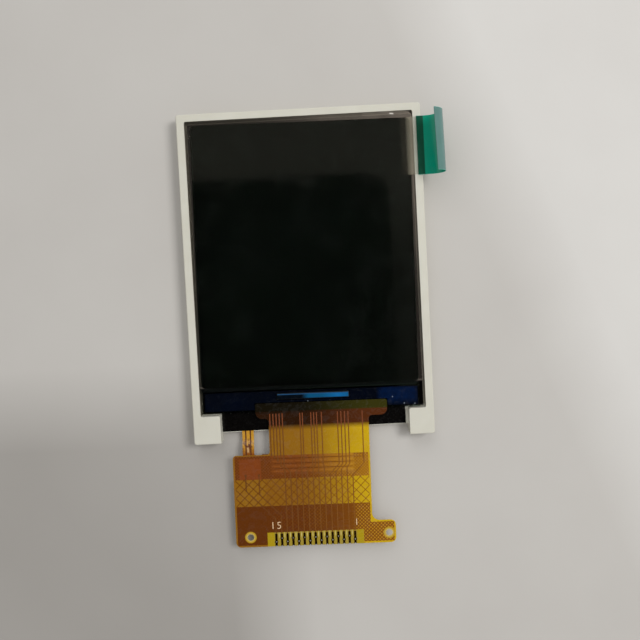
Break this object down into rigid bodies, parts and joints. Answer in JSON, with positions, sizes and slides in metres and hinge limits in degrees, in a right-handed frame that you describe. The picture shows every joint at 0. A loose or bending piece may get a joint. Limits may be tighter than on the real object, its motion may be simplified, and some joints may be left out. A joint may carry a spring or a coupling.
{
  "type": "phone lcd screen",
  "caption": "Small colour LCD module in a white moulded frame, with a clear protective film, a curled green pull tab and an amber flex that ends in plated solder pads.",
  "frame": {"origin": "centre of the module's back face, in the middle of the moulded frame's outline", "axes": "+X to the right of the picture, +Y to its top edge, away from the flex, +Z out of the screen"},
  "size_m": [0.0366, 0.0614, 0.007],
  "materials": {
    "frame_white": "satin",
    "reflector_white": "gloss",
    "clear_acrylic": "clear",
    "sheet_film": "frosted",
    "led_white": "satin",
    "phosphor": "matte",
    "polyimide": "satin",
    "copper": "satin",
    "gold": "polished",
    "tape_black": "matte",
    "polarizer": "gloss",
    "cell_glass": "clear",
    "seal_resin": "matte",
    "crystal": "clear",
    "clear_film": "gloss",
    "tape_clear": "satin",
    "tab_green": "gloss",
    "silicon": "gloss",
    "bond": "matte",
    "coat": "gloss",
    "solder": "satin"
  },
  "bodies": {
    "root": {"backlight_frame": "frame_white", "reflector_sheet": "reflector_white", "light_guide_plate": "clear_acrylic", "diffuser_sheet": "sheet_film", "prism_sheet_lower": "sheet_film", "prism_sheet_upper": "sheet_film", "led_1": "led_white", "led_2": "led_white", "led_3": "led_white", "led_phosphors": "phosphor", "led_flex": "polyimide", "led_flex_traces": "copper", "light_shield_tape": "tape_black", "rear_polarizer": "polarizer", "array_glass": "cell_glass", "cell_seal": "seal_resin", "liquid_crystal": "crystal", "colour_filter_glass": "cell_glass", "front_polarizer": "polarizer", "protective_film": "clear_film", "tab_tape": "tape_clear", "pull_tab": "tab_green", "driver_ic": "silicon", "ic_bond_film": "bond", "flex_bond_film": "bond", "ledge_sealant": "coat", "flex_base": "polyimide", "signal_traces": "copper", "back_traces": "copper", "ground_copper": "copper", "plated_vias": "copper", "contact_pads": "gold", "flex_front_cover": "polyimide", "flex_back_cover": "polyimide", "tail_solder": "solder"}
  },
  "joints": []
}
